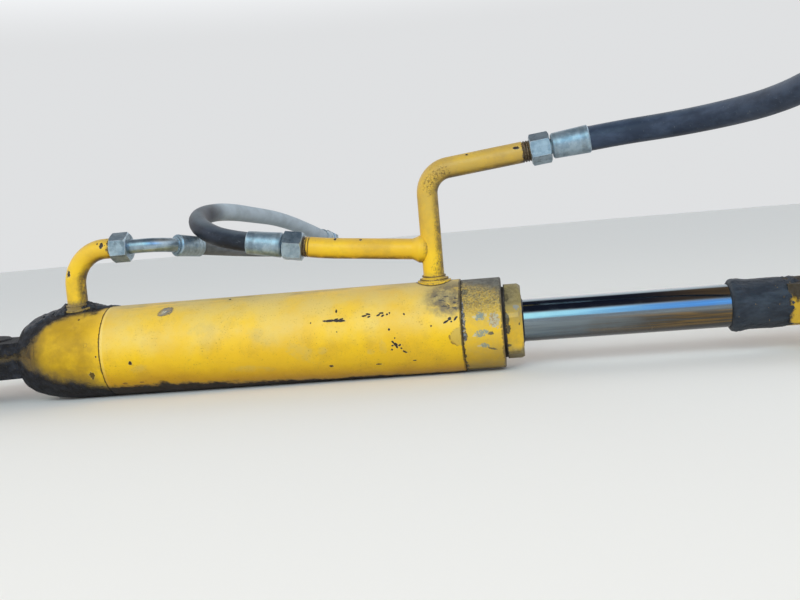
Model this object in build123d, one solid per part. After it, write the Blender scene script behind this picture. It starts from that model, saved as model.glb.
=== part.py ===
from build123d import *
import math
import os

# Steering cylinder of an articulated loader, in millimetres.
# Origin at the centre of the base eye, +X along the rod, +Z up along the steering pins.

os.makedirs("parts", exist_ok=True)

# Eyes and their spherical bearings
pin_d = 50.0
ball_d = 66.0
ring_width = 35.0
race_od = 75.0
race_width = 28.0
eye_wall = 17.5
eye_width = 44.0
clip_thick = 2.5
clip_depth = 2.4
clip_lip = 3.5

# Barrel
barrel_od = 100.0
barrel_wall = 7.5
base_lug_length = 30.0
base_cap_length = 100.0
base_cap_bottom = 44.0
barrel_length = 392.5
seam_chamfer = 0.5
collar_chamfer = 0.9

# Head
collar_d = 97.4
collar_length = 42.5
gland_body_d = 69.0
gland_af = 75.0
gland_round_d = 84.0
gland_groove = 2.5
gland_hex = 17.9
gland_clock_deg = 15.0
wiper_height = 6.0

# Rod and piston
rod_d = 45.0
rod_exposed = 216.6
rod_boss_d = 53.0
rod_boss_length = 68.0
rod_lug_length = 14.0
stroke_in = 210.0
stroke_out = 118.0
piston_length = 50.0
piston_spigot_d = 34.0
piston_nut_af = 55.0
piston_nut_height = 18.0
end_gap = 3.0

# Hard lines
base_line_d = 22.5
head_line_d = 22.5
line_wall = 2.5
port_d = 16.0
base_riser_inset = 60.0
base_line_height = 65.0
base_bend_radius = 39.0
base_nut_reach = 48.0
head_riser_inset = 28.0
head_riser_height = 117.3
head_bend_radius = 27.0
head_rise_deg = 6.3
head_nut_reach = 113.5
branch_height = 34.5
branch_reach = (115.0, 141.2)
branch_rise_deg = (5.2, 8.8)
thread_grooves = 3
thread_pitch = 2.8

# Hose fittings: nut across flats and length, elbow tube
nut_af = 29.0
nut_length = 21.5
nut_thread = 14.0
base_nut_length = 20.0
branch_nut_clock_deg = -18.0
stem_collar_d = 19.0
stem_collar_length = 3.5
stem_d = 16.0
elbow_reach = 38.3
elbow_out = (12.7, 20.0, -2.8)
elbow_bend_radius = 33.0

# Clearances
run_gap = 0.05
seat_gap = 0.15
ferrule_wall = 13.0
ferrule_mouth_gap = 0.4

# Each hose: outside diameter, bore, ferrule's start and end diameter and length, first run
hose_sizes = {
    "base": (19.0, 10.0, 25.0, 23.0, 36.0, 55.0),
    "branch": (22.0, 13.0, 27.5, 25.5, 41.0, 48.8),
    "head": (26.0, 13.0, 27.0, 29.5, 41.0, 54.0),
}

# Each hose's corners after its first run, the last one inside the far ferrule
hose_corners = {
    "base": [(330.0, 134.0, 97.5), (372.0, 212.0, 91.0), (414.0, 300.0, 84.5), (454.0, 385.0, 78.0)],
    "branch": [(289.0, 23.5, 127.0), (271.5, 65.0, 141.0), (273.5, 118.0, 147.5), (277.0, 193.0, 148.0),
               (280.5, 296.0, 143.0), (284.0, 415.0, 137.0), (292.0, 560.0, 120.0), (302.0, 700.0, 97.8)],
    "head": [(806.0, -20.0, 191.5), (853.0, -58.0, 194.5), (888.0, -112.0, 198.5), (912.0, -168.0, 208.5),
             (938.0, -217.0, 224.0), (974.0, -254.0, 239.0), (1018.0, -282.0, 251.0)],
}

# Stations along the axis
eye_od = race_od + 2 * eye_wall
cap_x = eye_od / 2 + base_lug_length
seam_x = cap_x + base_cap_length
head_x = seam_x + barrel_length
collar_x = head_x + collar_length
gland_x = collar_x + gland_groove + gland_hex
boss_x = gland_x + rod_exposed
rod_eye_x = boss_x + rod_boss_length + eye_od / 2
bore_d = barrel_od - 2 * barrel_wall
bore_x = cap_x + base_cap_bottom
piston_x = bore_x + piston_nut_height + stroke_in + end_gap
gland_inner_x = piston_x + piston_length + stroke_out + end_gap
base_riser_x = cap_x + base_riser_inset
head_riser_x = head_x - head_riser_inset
barrel_r = barrel_od / 2

parts = {}


def cyl_x(x0, x1, d):
    """Round bar along the cylinder's axis."""
    return extrude(Plane(origin=(x0, 0, 0), x_dir=(0, 1, 0), z_dir=(1, 0, 0)) * Circle(d / 2), x1 - x0)


def cyl_z(z0, z1, d, x=0.0):
    """Round bar along a pin."""
    return extrude(Plane(origin=(x, 0, z0)) * Circle(d / 2), z1 - z0)


def turned(profile, origin=(0, 0, 0), axis=(1, 0, 0)):
    """Turned solid from (station, radius) points, stations counted from the origin along the axis."""
    along = Vector(*axis).normalized()
    side = Vector(0, 1, 0)
    out = (side - along * side.dot(along)).normalized()
    if abs(side.dot(along)) > 0.9:
        out = (Vector(0, 0, 1) - along * along.Z).normalized()
    plane = Plane(origin=origin, x_dir=out, z_dir=out.cross(along))
    face = plane * make_face(Polyline(*[(r, s) for s, r in profile], close=True))
    return revolve(face, Axis(origin, tuple(along)), 360)


def step(point, direction, distance):
    """The point moved along a direction."""
    moved = Vector(*point) + direction * distance
    return (moved.X, moved.Y, moved.Z)


def heading(a, b):
    return (Vector(*b) - Vector(*a)).normalized()


def rise(degrees, sign):
    """Unit direction in the XZ plane that climbs by the angle."""
    return Vector(sign * math.cos(math.radians(degrees)), 0, math.sin(math.radians(degrees)))


def pipe(points, outer, bore, radii):
    """Round tube along straight runs joined by tangent arcs, solid where the bore is 0."""
    path = FilletPolyline(*points, radius=radii) if len(points) > 2 else Line(*points)
    section = Circle(outer / 2)
    if bore:
        section = section - Circle(bore / 2)
    return sweep(Plane(origin=path @ 0, z_dir=path % 0) * section, path=path)


def bend_radii(points):
    """0.45 of the shorter run over the tangent of half the turn, for each corner."""
    radii = []
    for a, b, c in zip(points, points[1:], points[2:]):
        before = Vector(*b) - Vector(*a)
        after = Vector(*c) - Vector(*b)
        half = math.radians(before.get_angle(after)) / 2
        radii.append(0.45 * min(before.length, after.length) / math.tan(half))
    return radii


def hexagon(origin, direction, across, length, clock_deg=0):
    plane = Plane(origin=origin, z_dir=direction)
    return extrude(plane * RegularPolygon(across / 2, 6, major_radius=False, rotation=clock_deg), length)


def swivel_nut(mouth, direction, thread_d, back_d, length=nut_length, clock_deg=0):
    """Hexagon nut: threaded mouth, seat for the stem's collar and a hole for the stem or elbow behind it."""
    corner = nut_af / math.sqrt(3)
    flat = nut_af / 2 - 0.4
    lean = (corner - flat) * math.tan(math.radians(30))
    cone = turned([(0, 0), (0, flat), (lean, corner), (length - lean, corner), (length, flat),
                   (length, 0)], mouth, tuple(direction))
    nut = hexagon(mouth, direction, nut_af, length, clock_deg) & cone
    plane = Plane(origin=mouth, z_dir=direction)
    nut = nut - extrude(plane * Circle(thread_d / 2), nut_thread)
    seat_d = max(stem_collar_d, back_d)
    nut = nut - extrude(plane * Circle(seat_d / 2 + seat_gap), nut_thread + stem_collar_length + seat_gap)
    return nut - extrude(plane * Circle(back_d / 2 + seat_gap), length)


def ferrule(origin, direction, sizes, tail):
    """Crimped hose ferrule with its insert; the tail is the stem profile in front of it."""
    hose_d, hose_bore, start_d, end_d, length = sizes
    insert_r = hose_bore / 2 - 2.0
    outside = [(1.5, start_d / 2 - 1.5), (3.0, start_d / 2), (length - 1.2, end_d / 2), (length, end_d / 2 - 1.0)]
    inside = [(length, hose_d / 2 + ferrule_mouth_gap), (length - 6.0, hose_d / 2), (ferrule_wall, hose_d / 2),
              (ferrule_wall, hose_bore / 2), (length - 4.0, hose_bore / 2), (length - 3.0, insert_r)]
    return turned(tail(insert_r) + outside + inside, origin, tuple(direction))


def stem_tail(insert_r):
    """Stem through a swivel nut, with the collar that the nut pulls against the seat."""
    collar_back = nut_thread + stem_collar_length - nut_length
    collar_front = nut_thread - nut_length
    return [(collar_front, insert_r), (collar_front, stem_collar_d / 2), (collar_back, stem_collar_d / 2),
            (collar_back, stem_d / 2), (1.5, stem_d / 2)]


def thread_rings(origin, direction, diameter):
    """Grooves that stand for the thread showing beside a nut."""
    rings = []
    for i in range(thread_grooves):
        s = -0.6 - i * thread_pitch
        r = diameter / 2
        rings.append(turned([(s, r + 1), (s, r - 0.1), (s - 0.9, r - 1.1), (s - 1.8, r - 0.1), (s - 1.8, r + 1)],
                            origin, tuple(direction)))
    return rings


def foot_weld(x, line_d, spread, height):
    """Fillet weld round the foot of a riser on the barrel's crown."""
    r = line_d / 2 - 0.2
    base = barrel_r - 2.5
    ring = turned([(base, r), (base, r + spread), (barrel_r + 0.6, r + spread * 0.72),
                   (barrel_r + height * 0.5, r + spread * 0.36), (barrel_r + height, r)], (x, 0, 0), (0, 0, 1))
    return ring - cyl_x(x - line_d * 2, x + line_d * 2, barrel_od)


# Eye blanks


def eye_blank(x, side, reach, neck_d):
    """Forged eye with a neck that narrows towards the cylinder, before boring."""
    ring = cyl_z(-eye_width / 2, eye_width / 2, eye_od, x)
    ring = chamfer(ring.edges().filter_by(GeomType.CIRCLE), 1.5)
    half = (eye_od / 2 - 2) * math.cos(math.radians(28))
    offset = (eye_od / 2 - 2) * math.sin(math.radians(28))
    end = x + side * reach
    outline = Polyline((x + side * offset, half), (end, neck_d / 2), (end, -neck_d / 2), (x + side * offset, -half),
                       close=True)
    neck = extrude(Plane(origin=(0, 0, -eye_width / 2 + 2)) * make_face(outline), eye_width - 4)
    return ring + neck


def bored(blank, x):
    """Seat for the race with a clip groove on each side of it."""
    blank = blank - cyl_z(-eye_width, eye_width, race_od, x)
    for z0 in (race_width / 2, -race_width / 2 - clip_thick):
        blank = blank - cyl_z(z0, z0 + clip_thick, race_od + 2 * clip_depth, x)
    return blank


# Base eye, closed end of the barrel
cap = turned([(cap_x - 3, 0), (cap_x - 3, barrel_r - 17), (cap_x, barrel_r - 13), (cap_x + 8, barrel_r - 8.2),
              (cap_x + 20, barrel_r - 4.2), (cap_x + 32, barrel_r - 1.6), (cap_x + 44, barrel_r - 0.3),
              (cap_x + 54, barrel_r), (seam_x - seam_chamfer, barrel_r), (seam_x, barrel_r - seam_chamfer),
              (seam_x, bore_d / 2), (bore_x, bore_d / 2), (bore_x, 0)])
base_eye = bored(eye_blank(0, 1, cap_x, 2 * (barrel_r - 17)) + cap, 0)
base_port = extrude(Plane(origin=(base_riser_x, 0, 0)) * Circle(port_d / 2), barrel_od)
parts["base_eye"] = base_eye - base_port

# Barrel tube
barrel = turned([(seam_x, bore_d / 2), (seam_x, barrel_r - seam_chamfer), (seam_x + seam_chamfer, barrel_r),
                 (head_x - 0.6, barrel_r), (head_x, barrel_r - 0.6), (head_x, bore_d / 2)])
head_port = extrude(Plane(origin=(head_riser_x, 0, 0)) * Circle(port_d / 2), barrel_od)
parts["barrel_tube"] = barrel - head_port

# Head collar: shouldered ring on the tube's end
collar_r = collar_d / 2
parts["head_collar"] = turned([(head_x, gland_body_d / 2), (head_x, collar_r - collar_chamfer),
                               (head_x + collar_chamfer, collar_r),
                               (collar_x - 1.0, collar_r), (collar_x, collar_r - 1.0), (collar_x, gland_body_d / 2)])

# Gland nut: body in the bore, round neck and hexagon head in front of the collar
flange_x = collar_x + gland_groove
round_r = gland_round_d / 2
neck = cyl_x(collar_x, flange_x, gland_round_d - 8)
nose = turned([(flange_x, 0), (flange_x, round_r - 0.8), (flange_x + 0.8, round_r), (gland_x - 3.5, round_r),
               (gland_x, round_r - 4.5), (gland_x, 0)])
flats = extrude(Plane(origin=(flange_x, 0, 0), x_dir=(0, 1, 0), z_dir=(1, 0, 0)) *
                RegularPolygon(gland_af / 2, 6, major_radius=False, rotation=30 + gland_clock_deg),
                gland_x - flange_x)
wiper_d = rod_d + 2 * wiper_height
gland = neck + (nose & flats) + cyl_x(gland_inner_x, collar_x, gland_body_d)
gland = gland - cyl_x(gland_inner_x, gland_x, rod_d + 2 * run_gap)
parts["gland_nut"] = gland - cyl_x(gland_x - wiper_height, gland_x, wiper_d)
wiper_r = rod_d / 2 + run_gap
parts["rod_wiper"] = turned([(gland_x - wiper_height, wiper_r), (gland_x - wiper_height, wiper_d / 2),
                             (gland_x - 0.6, wiper_d / 2), (gland_x + 0.4, wiper_d / 2 - 1.2),
                             (gland_x + 0.4, wiper_r + 1.6), (gland_x + 1.6, wiper_r)])

# Rod, piston and piston nut
rod = cyl_x(piston_x + piston_length, boss_x, rod_d)
parts["rod"] = rod + cyl_x(piston_x - piston_nut_height, piston_x + piston_length, piston_spigot_d)
piston = cyl_x(piston_x, piston_x + piston_length, bore_d - 2 * run_gap)
parts["piston"] = piston - cyl_x(piston_x, piston_x + piston_length, piston_spigot_d)
nut = hexagon((piston_x - piston_nut_height, 0, 0), Vector(1, 0, 0), piston_nut_af, piston_nut_height)
parts["piston_nut"] = nut - cyl_x(piston_x - piston_nut_height, piston_x, piston_spigot_d)

# Rod eye with its welded boss
boss_r = rod_boss_d / 2
boss_end = boss_x + rod_boss_length + 0.6 * eye_wall
boss = turned([(boss_x, 0), (boss_x, boss_r - 2.2), (boss_x + 1.6, boss_r), (boss_x + 9, boss_r),
               (boss_x + 16, boss_r - 1.0), (boss_end, boss_r - 1.0), (boss_end, 0)])
rod_blank = eye_blank(rod_eye_x, -1, eye_od / 2 + rod_lug_length, rod_boss_d - 6) + boss
parts["rod_eye"] = bored(rod_blank, rod_eye_x)

# Bearings, clips and grease fittings
for end, x, side in (("base", 0.0, -1), ("rod", rod_eye_x, 1)):
    ball = Sphere(ball_d / 2).moved(Location((x, 0, 0)))
    socket = Sphere(ball_d / 2 + run_gap).moved(Location((x, 0, 0)))
    parts[end + "_race"] = cyl_z(-race_width / 2, race_width / 2, race_od, x) - socket
    ring = ball & cyl_z(-ring_width / 2, ring_width / 2, ball_d, x)
    parts[end + "_ring"] = ring - cyl_z(-ring_width, ring_width, pin_d, x)
    for tag, z0 in (("upper", race_width / 2), ("lower", -race_width / 2 - clip_thick)):
        clip = cyl_z(z0, z0 + clip_thick, race_od + 2 * clip_depth, x)
        clip = clip - cyl_z(z0, z0 + clip_thick, race_od - 2 * clip_lip, x)
        gap = Box(16, 14, 3 * clip_thick).moved(Location((x + side * race_od / 2, 0, z0)))
        parts["%s_clip_%s" % (end, tag)] = clip - gap
    fitting = turned([(eye_od / 2 - 5, 0), (eye_od / 2 - 5, 3.6), (eye_od / 2 + 0.4, 3.6), (eye_od / 2 + 0.4, 5.0),
                      (eye_od / 2 + 5.4, 5.0), (eye_od / 2 + 6.4, 3.0), (eye_od / 2 + 8.4, 2.4),
                      (eye_od / 2 + 9.6, 3.2), (eye_od / 2 + 11.6, 3.2), (eye_od / 2 + 12.8, 1.8),
                      (eye_od / 2 + 12.8, 0)], (x, 0, 0), (side, 0, 0))
    parts[end + "_grease_fitting"] = fitting
    hole = turned([(eye_od / 2 - 9, 0), (eye_od / 2 - 9, 3.6), (eye_od / 2 + 2, 3.6), (eye_od / 2 + 2, 0)], (x, 0, 0),
                  (side, 0, 0))
    parts[end + "_eye"] = parts[end + "_eye"] - hole

# Base line: riser on the cap, bend and the nut's thread
base_z = barrel_r + base_line_height
base_mouth = (base_riser_x + base_nut_reach, 0, base_z)
right = Vector(1, 0, 0)
line_end = step(base_mouth, right, nut_thread)
line = pipe([(base_riser_x, 0, barrel_r - 3), (base_riser_x, 0, base_z), line_end], base_line_d,
            base_line_d - 2 * line_wall, [base_bend_radius])
line = line - cyl_x(base_riser_x - base_line_d, base_riser_x + base_line_d, barrel_od)
parts["base_line"] = line + foot_weld(base_riser_x, base_line_d, 6.0, 6.0)
parts["base_nut"] = swivel_nut(base_mouth, right, base_line_d, stem_d, base_nut_length)

# Head line: riser on the barrel, bend towards the rod and a branch back along the barrel
head_foot = (head_riser_x, 0, barrel_r - 3)
head_corner = (head_riser_x, 0, barrel_r + head_riser_height)
head_way = rise(head_rise_deg, 1)
head_mouth = step(head_corner, head_way, head_nut_reach)
head_end = step(head_mouth, head_way, nut_thread)
branch_start = (head_riser_x, 0, barrel_r + branch_height)
branch_bend = step(branch_start, rise(branch_rise_deg[0], -1), branch_reach[0])
branch_way = rise(branch_rise_deg[1], -1)
branch_mouth = step(branch_bend, branch_way, branch_reach[1] - branch_reach[0])
branch_end = step(branch_mouth, branch_way, nut_thread)
core_d = head_line_d - 2 * line_wall
branch_radius = bend_radii([branch_start, branch_bend, branch_mouth])
riser = pipe([head_foot, head_corner, head_end], head_line_d, 0, [head_bend_radius])
riser_core = pipe([head_foot, head_corner, head_end], core_d, 0, [head_bend_radius])
branch = pipe([branch_start, branch_bend, branch_end], head_line_d, 0, branch_radius)
branch_core = pipe([branch_start, branch_bend, branch_end], core_d, 0, branch_radius)
saddle_r = head_line_d / 2
saddle = turned([(3, 0), (3, saddle_r - 0.4), (5.5, saddle_r + 1.4), (8, saddle_r + 2.7), (11, saddle_r + 3.6),
                 (13.5, saddle_r + 3.4), (16, saddle_r + 2.0), (18.5, saddle_r + 0.8), (21, saddle_r - 0.1), (21, 0)],
                branch_start, tuple(rise(branch_rise_deg[0], -1)))
head_line = riser + branch + saddle + foot_weld(head_riser_x, head_line_d, 6.5, 7.0)
head_line = head_line - riser_core - branch_core
head_line = head_line - cyl_x(head_riser_x - head_line_d, head_riser_x + head_line_d, barrel_od)
for groove in thread_rings(head_mouth, head_way, head_line_d) + thread_rings(branch_mouth, branch_way, head_line_d):
    head_line = head_line - groove
parts["head_line"] = head_line
parts["head_nut"] = swivel_nut(head_mouth, head_way, head_line_d, stem_d)
parts["branch_nut"] = swivel_nut(branch_mouth, branch_way, head_line_d, stem_d, nut_length, branch_nut_clock_deg)

# Elbow from the base nut to the base hose
elbow_corner = step(line_end, right, elbow_reach)
elbow_end = (elbow_corner[0] + elbow_out[0], elbow_corner[1] + elbow_out[1], elbow_corner[2] + elbow_out[2])
elbow_way = heading(elbow_corner, elbow_end)
elbow = pipe([line_end, elbow_corner, elbow_end], stem_d, stem_d - 2 * line_wall, [elbow_bend_radius])
elbow_collar = turned([(0, stem_d / 2 - 0.5), (0, stem_collar_d / 2), (stem_collar_length, stem_collar_d / 2),
                       (stem_collar_length, stem_d / 2 - 0.5)], line_end, (1, 0, 0))
parts["base_elbow"] = elbow + elbow_collar


def elbow_tail(insert_r):
    return [(0, insert_r), (0, stem_d / 2 + 1.5), (1.5, stem_d / 2 + 1.5)]


# Hoses with their ferrules, and the far nuts that screw to the machine
near_ends = {
    "base": (elbow_end, elbow_way, elbow_tail),
    "branch": (step(branch_mouth, branch_way, nut_length), branch_way, stem_tail),
    "head": (step(head_mouth, head_way, nut_length), head_way, stem_tail),
}
for name, (origin, way, tail) in near_ends.items():
    sizes = hose_sizes[name][:5]
    hose_d, hose_bore = sizes[:2]
    start = step(origin, way, ferrule_wall)
    route = [start, step(start, way, hose_sizes[name][5])] + hose_corners[name]
    radii = bend_radii(route)
    tube = pipe(route, hose_d, hose_bore, radii)
    section = math.pi * (hose_d ** 2 - hose_bore ** 2) / 4
    out = heading(route[-2], route[-1])
    far_origin = step(route[-1], out, ferrule_wall)
    far_mouth = step(far_origin, out, nut_length)
    thread = step(far_mouth, out, -nut_thread / 2)
    parts[name + "_ferrule"] = ferrule(origin, way, sizes, tail)
    parts[name + "_hose"] = tube
    parts[name + "_far_ferrule"] = ferrule(far_origin, out * -1, sizes, stem_tail)
    parts[name + "_far_nut"] = swivel_nut(far_mouth, out * -1, head_line_d, stem_d)
    print(name, "hose length", round(tube.volume / section, 1), "runs", [round(math.dist(a, b)) for a, b in
                                                                      zip(route, route[1:])])
    print(name, "bend radii", [round(r) for r in radii])
    print(name, "route", [tuple(round(v, 1) for v in p) for p in route])
    print(name, "mount", [round(v / 1000, 6) for v in thread], [round(v, 6) for v in tuple(out)])

print("rod eye at", rod_eye_x, "base riser", base_riser_x, "gland inner", gland_inner_x, "piston", piston_x)
for name, shape in parts.items():
    export_step(shape, "parts/%s.step" % name)
print(len(parts), "parts")
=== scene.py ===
import math
from functools import partial

import bmesh
import bpy
from mathutils import Matrix, Vector, noise


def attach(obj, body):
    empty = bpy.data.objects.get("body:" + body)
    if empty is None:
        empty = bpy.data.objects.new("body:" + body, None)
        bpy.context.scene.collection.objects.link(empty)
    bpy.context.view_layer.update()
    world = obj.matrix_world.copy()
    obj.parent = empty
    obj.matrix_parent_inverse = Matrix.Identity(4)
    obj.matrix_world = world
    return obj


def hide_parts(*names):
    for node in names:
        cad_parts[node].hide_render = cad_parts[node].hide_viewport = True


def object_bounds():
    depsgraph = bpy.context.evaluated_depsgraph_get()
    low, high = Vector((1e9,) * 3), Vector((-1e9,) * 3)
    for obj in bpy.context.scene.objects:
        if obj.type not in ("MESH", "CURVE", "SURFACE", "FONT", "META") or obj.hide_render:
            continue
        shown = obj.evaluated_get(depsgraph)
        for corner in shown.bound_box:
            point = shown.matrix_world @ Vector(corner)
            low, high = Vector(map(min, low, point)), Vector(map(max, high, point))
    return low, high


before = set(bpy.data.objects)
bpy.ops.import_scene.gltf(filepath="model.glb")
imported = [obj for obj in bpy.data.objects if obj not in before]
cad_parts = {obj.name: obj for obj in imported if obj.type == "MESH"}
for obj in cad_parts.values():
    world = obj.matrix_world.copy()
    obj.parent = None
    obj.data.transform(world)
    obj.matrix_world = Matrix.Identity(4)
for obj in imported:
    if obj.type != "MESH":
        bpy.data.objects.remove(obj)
cad_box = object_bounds()

# Places and sizes in metres, for the pieces and finishes that are fitted to them
BARREL_RADIUS = 0.050
LINE_RADIUS = 0.01125
BOSS_RADIUS = 0.0265
BASE_RISER_X = 0.145
SEAM_X = 0.185
HEAD_RISER_X = 0.5495
HEAD_X = 0.5775
COLLAR_X = 0.620
BOSS_X = 0.857

BARE_STEEL = (52, 42, 36)

# Node building


def tone(red, green, blue):
    """A display colour from 0 to 255 as a linear colour."""
    linear = []
    for value in (red / 255, green / 255, blue / 255):
        linear.append(value / 12.92 if value <= 0.04045 else ((value + 0.055) / 1.055) ** 2.4)
    return (*linear, 1.0)


def put(tree, kind, values=(), **settings):
    """Adds a node with its settings, and feeds its inputs from sockets or plain values."""
    node = tree.nodes.new("ShaderNode" + kind)
    for key, value in settings.items():
        setattr(node, key, value)
    for key, value in dict(values).items():
        if isinstance(value, bpy.types.NodeSocket):
            tree.links.new(value, node.inputs[key])
        else:
            node.inputs[key].default_value = value
    return node


def fed(kind, values, **settings):
    """Adds a node to the tree that its linked inputs come from, and gives its outputs."""
    values = dict(values)
    source = next(value for value in values.values() if isinstance(value, bpy.types.NodeSocket))
    return put(source.id_data, kind, values, **settings).outputs


def give(inputs, **values):
    """Leads each value that there is into the input of its name."""
    for label, value in values.items():
        if value is not None:
            value.id_data.links.new(value, inputs[label])


def figure(operation, *terms, clamp=False):
    return fed("Math", enumerate(terms), operation=operation, use_clamp=clamp)[0]


# The sums by name: times_plus(a, b, c) is a * b + c
times, times_plus = partial(figure, "MULTIPLY"), partial(figure, "MULTIPLY_ADD")
plus, minus = partial(figure, "ADD"), partial(figure, "SUBTRACT")
most, absolute = partial(figure, "MAXIMUM"), partial(figure, "ABSOLUTE")


def sway(value, width):
    """A value from 0 to 1 as a shift to both sides, width from end to end."""
    return times_plus(value, width, -width / 2)


def ramp(value, start, end, low=0.0, high=1.0):
    """Smooth step from start to end."""
    return fed("MapRange", {0: value, 1: start, 2: end, 3: low, 4: high}, interpolation_type="SMOOTHSTEP")[0]


def band(value, middle, half, soft):
    """1 within half of the middle, gone a little further out."""
    return ramp(absolute(minus(value, middle)), half + soft, half)


def tint(mask, under, over):
    """Goes from one colour to another where the mask is 1."""
    return fed("Mix", {0: mask, 6: under, 7: over}, data_type="RGBA")[2]


def blend(mask, under, over):
    """The same with two display colours."""
    return tint(mask, tone(*under), tone(*over))


def lay(under, over, mask, strength=None):
    """Lays a display colour, or one that is mixed already, over the colour before it."""
    over = tone(*over) if isinstance(over, tuple) else over
    return tint(mask if strength is None else times(mask, strength), under, over)


def cloud(vector, size, detail=4.0, rough=0.55):
    """Noise whose blotches are about size metres across."""
    return fed("TexNoise", {"Vector": vector, "Scale": 1.0 / size, "Detail": detail, "Roughness": rough})[0]


def stretched(vector, factors):
    """Coordinates pulled out along an axis, for streaks and scratches."""
    return fed("Mapping", {"Vector": vector, "Scale": factors}, vector_type="POINT")[0]


def turned(vector, angle):
    return fed("VectorRotate", {"Vector": vector, "Angle": angle}, rotation_type="Z_AXIS")[0]


def vectors(operation, *terms, output="Vector"):
    return fed("VectorMath", enumerate(terms), operation=operation)[output]


def length_of(vector):
    return vectors("LENGTH", vector, output="Value")


def dot(first, second):
    return vectors("DOT_PRODUCT", first, second, output="Value")


def pair(first, second):
    return fed("CombineXYZ", {0: first, 1: second})[0]


def parts_of(vector):
    return fed("SeparateXYZ", {0: vector})


def normal_of(tree):
    """The way that the surface faces."""
    return put(tree, "NewGeometry").outputs["Normal"]


def new_group(name, inputs, outputs):
    """A new effect. Its inputs are numbers with their usual values, and vectors where that is None."""
    tree = bpy.data.node_groups.new(name, "ShaderNodeTree")
    for label, value in inputs.items():
        kind = "NodeSocketVector" if value is None else "NodeSocketFloat"
        socket = tree.interface.new_socket(name=label, in_out="INPUT", socket_type=kind)
        if value is not None:
            socket.default_value = value
    for label, kind in outputs.items():
        tree.interface.new_socket(name=label, in_out="OUTPUT", socket_type="NodeSocket" + kind)
    return tree, tree.nodes.new("NodeGroupInput").outputs, tree.nodes.new("NodeGroupOutput").inputs


def outcomes(group, **values):
    """All that an effect gives."""
    return fed("Group", values, node_tree=group)


def use(group, **values):
    """The first of what an effect gives."""
    return outcomes(group, **values)[0]


# Effects that several finishes share


def build_dust():
    """Dust that settles on upward faces in patches."""
    tree, given, result = new_group(
        "settled_dust", {"Vector": None, "Amount": 0.6, "Patch": 0.05}, {"Mask": "Float"})
    vector = given["Vector"]
    upward = ramp(parts_of(normal_of(tree))[2], 0.42, 1.0)
    scale = figure("DIVIDE", 1.0, given["Patch"])
    patch = fed("TexNoise", {"Vector": vector, "Scale": scale, "Detail": 5.0, "Roughness": 0.6})[0]
    patchy = times_plus(ramp(patch, 0.3, 0.7), 0.55, 0.5)
    grainy = times_plus(cloud(vector, 0.0016, 3.0), 0.7, 0.65)
    give(result, Mask=times(times(times(upward, patchy), grainy), given["Amount"], clamp=True))
    return tree


def build_edges_worn_and_highlighted():
    """Edges where paint or plate is worn off; the same mask also places painted edge highlights."""
    tree, given, result = new_group(
        "edges_worn_and_highlighted", {"Vector": None, "Width": 0.0012, "Amount": 0.5}, {"Mask": "Float"})
    rounded = fed("Bevel", {"Radius": given["Width"]}, samples=4)[0]
    edge = ramp(dot(rounded, normal_of(tree)), 0.995, 0.90)
    broken = ramp(cloud(given["Vector"], 0.006, 6.0, 0.7), 0.62, 0.42)
    give(result, Mask=times(times(edge, broken), given["Amount"], clamp=True))
    return tree


def build_spot():
    """One ragged mark: 1 at its heart, 0.5 on its outline, added to the marks before it."""
    tree, given, result = new_group("spot", {
        "Before": 0.0, "Place": None, "Centre": None, "Turn": 0.0, "Half": None, "Ragged": 0.5}, {"Field": "Float"})
    offset = turned(vectors("SUBTRACT", given["Place"], given["Centre"]), given["Turn"])
    away = length_of(vectors("DIVIDE", offset, given["Half"]))
    field = ramp(plus(away, times_plus(given["Ragged"], 2.0, -1.0)), 1.6, 0.4)
    give(result, Field=most(field, given["Before"]))
    return tree


def build_unrolled():
    """The barrel's skin laid flat: metres along it and metres round it from the crown to the front."""
    tree, given, result = new_group("unrolled_skin", {"Vector": None}, {"Flat": "Vector"})
    along, across, height = parts_of(given["Vector"])
    angle = figure("ARCTAN2", times(across, -1.0), height)
    give(result, Flat=pair(along, times(angle, BARREL_RADIUS)))
    return tree


def build_enamel_skin():
    """Height of sprayed enamel: orange peel, runs and a few pits."""
    tree, given, result = new_group("enamel_skin", {"Vector": None}, {"Height": "Float"})
    peel = cloud(given["Vector"], 0.0022, 2.0)
    swell = cloud(given["Vector"], 0.018, 2.0)
    pits = ramp(cloud(given["Vector"], 0.0035, 1.0), 0.30, 0.22)
    give(result, Height=times_plus(pits, -0.6, times_plus(swell, 1.2, times(peel, 0.25))))
    return tree


def build_grease():
    """Old grease full of dirt: its colour and its lumps."""
    tree, given, result = new_group("old_grease", {"Vector": None}, {"Colour": "Color", "Height": "Float"})
    lumps = cloud(given["Vector"], 0.008, 5.0, 0.6)
    sand = cloud(given["Vector"], 0.0015, 2.0)
    colour = blend(ramp(lumps, 0.35, 0.68), (19, 20, 26), (42, 44, 51))
    colour = lay(colour, (96, 84, 64), ramp(sand, 0.62, 0.74), 0.5)
    give(result, Colour=colour, Height=times_plus(lumps, 2.2, times(sand, 0.3)))
    return tree


DUST = build_dust()
EDGES_WORN_AND_HIGHLIGHTED = build_edges_worn_and_highlighted()
SPOT = build_spot()
UNROLLED = build_unrolled()
ENAMEL_SKIN = build_enamel_skin()
GREASE = build_grease()
COVER = {"Colour": "Color", "Roughness": "Float", "Height": "Float"}


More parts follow.
